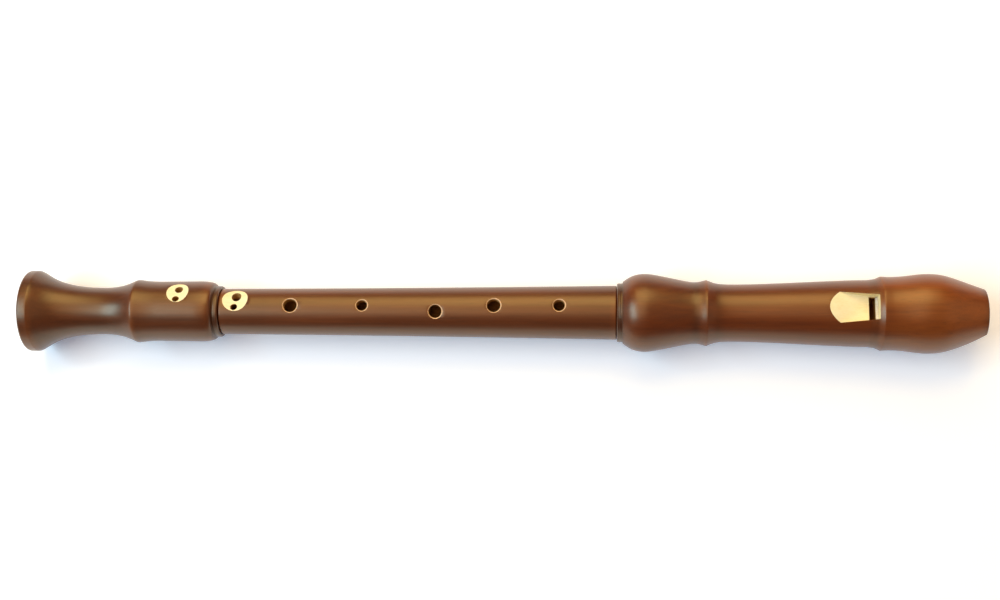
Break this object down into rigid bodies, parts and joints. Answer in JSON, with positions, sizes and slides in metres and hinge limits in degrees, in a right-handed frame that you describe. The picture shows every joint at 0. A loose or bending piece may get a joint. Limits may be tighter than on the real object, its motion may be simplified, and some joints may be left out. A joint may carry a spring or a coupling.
{
  "type": "alto recorder",
  "caption": "Wooden duct flute in three turned joints with a fipple block, seven finger holes, a thumb hole and a flared foot.",
  "frame": {"origin": "under the middle of the instrument's length, on the surface that it lies on", "axes": "+X from the foot to the beak along the bore, +Z out of the window, +Y to the side that the double holes lean to"},
  "size_m": [0.5, 0.042, 0.042],
  "materials": {
    "stained_wood": "reddish-brown stain under satin lacquer, bare pale wood in the cuts",
    "block_wood": "bare cedar, not lacquered",
    "cork": "plain sheet cork, lightly greased"
  },
  "bodies": {
    "middle": {"middle_joint": "stained_wood"},
    "upper_lapping": {"upper_tenon_cork": "cork"},
    "head": {"head_joint": "stained_wood"},
    "block": {"block": "block_wood"},
    "lower_lapping": {"lower_tenon_cork": "cork"},
    "foot": {"foot_joint": "stained_wood"}
  },
  "joints": [
    {"name": "head_turn", "type": "hinge", "parent": "middle", "child": "upper_lapping", "pos_m": [0.0743, 0, 0.021], "axis": [1, 0, 0], "continuous": true},
    {"name": "head_pull", "type": "slide", "parent": "upper_lapping", "child": "head", "axis": [1, 0, 0], "range_m": [0, 0.045]},
    {"name": "block_push", "type": "slide", "parent": "head", "child": "block", "axis": [1, 0, 0], "range_m": [0, 0.065]},
    {"name": "foot_turn", "type": "hinge", "parent": "middle", "child": "lower_lapping", "pos_m": [-0.1577, 0, 0.021], "axis": [1, 0, 0], "continuous": true},
    {"name": "foot_pull", "type": "slide", "parent": "lower_lapping", "child": "foot", "axis": [-1, 0, 0], "range_m": [0, 0.03]}
  ]
}
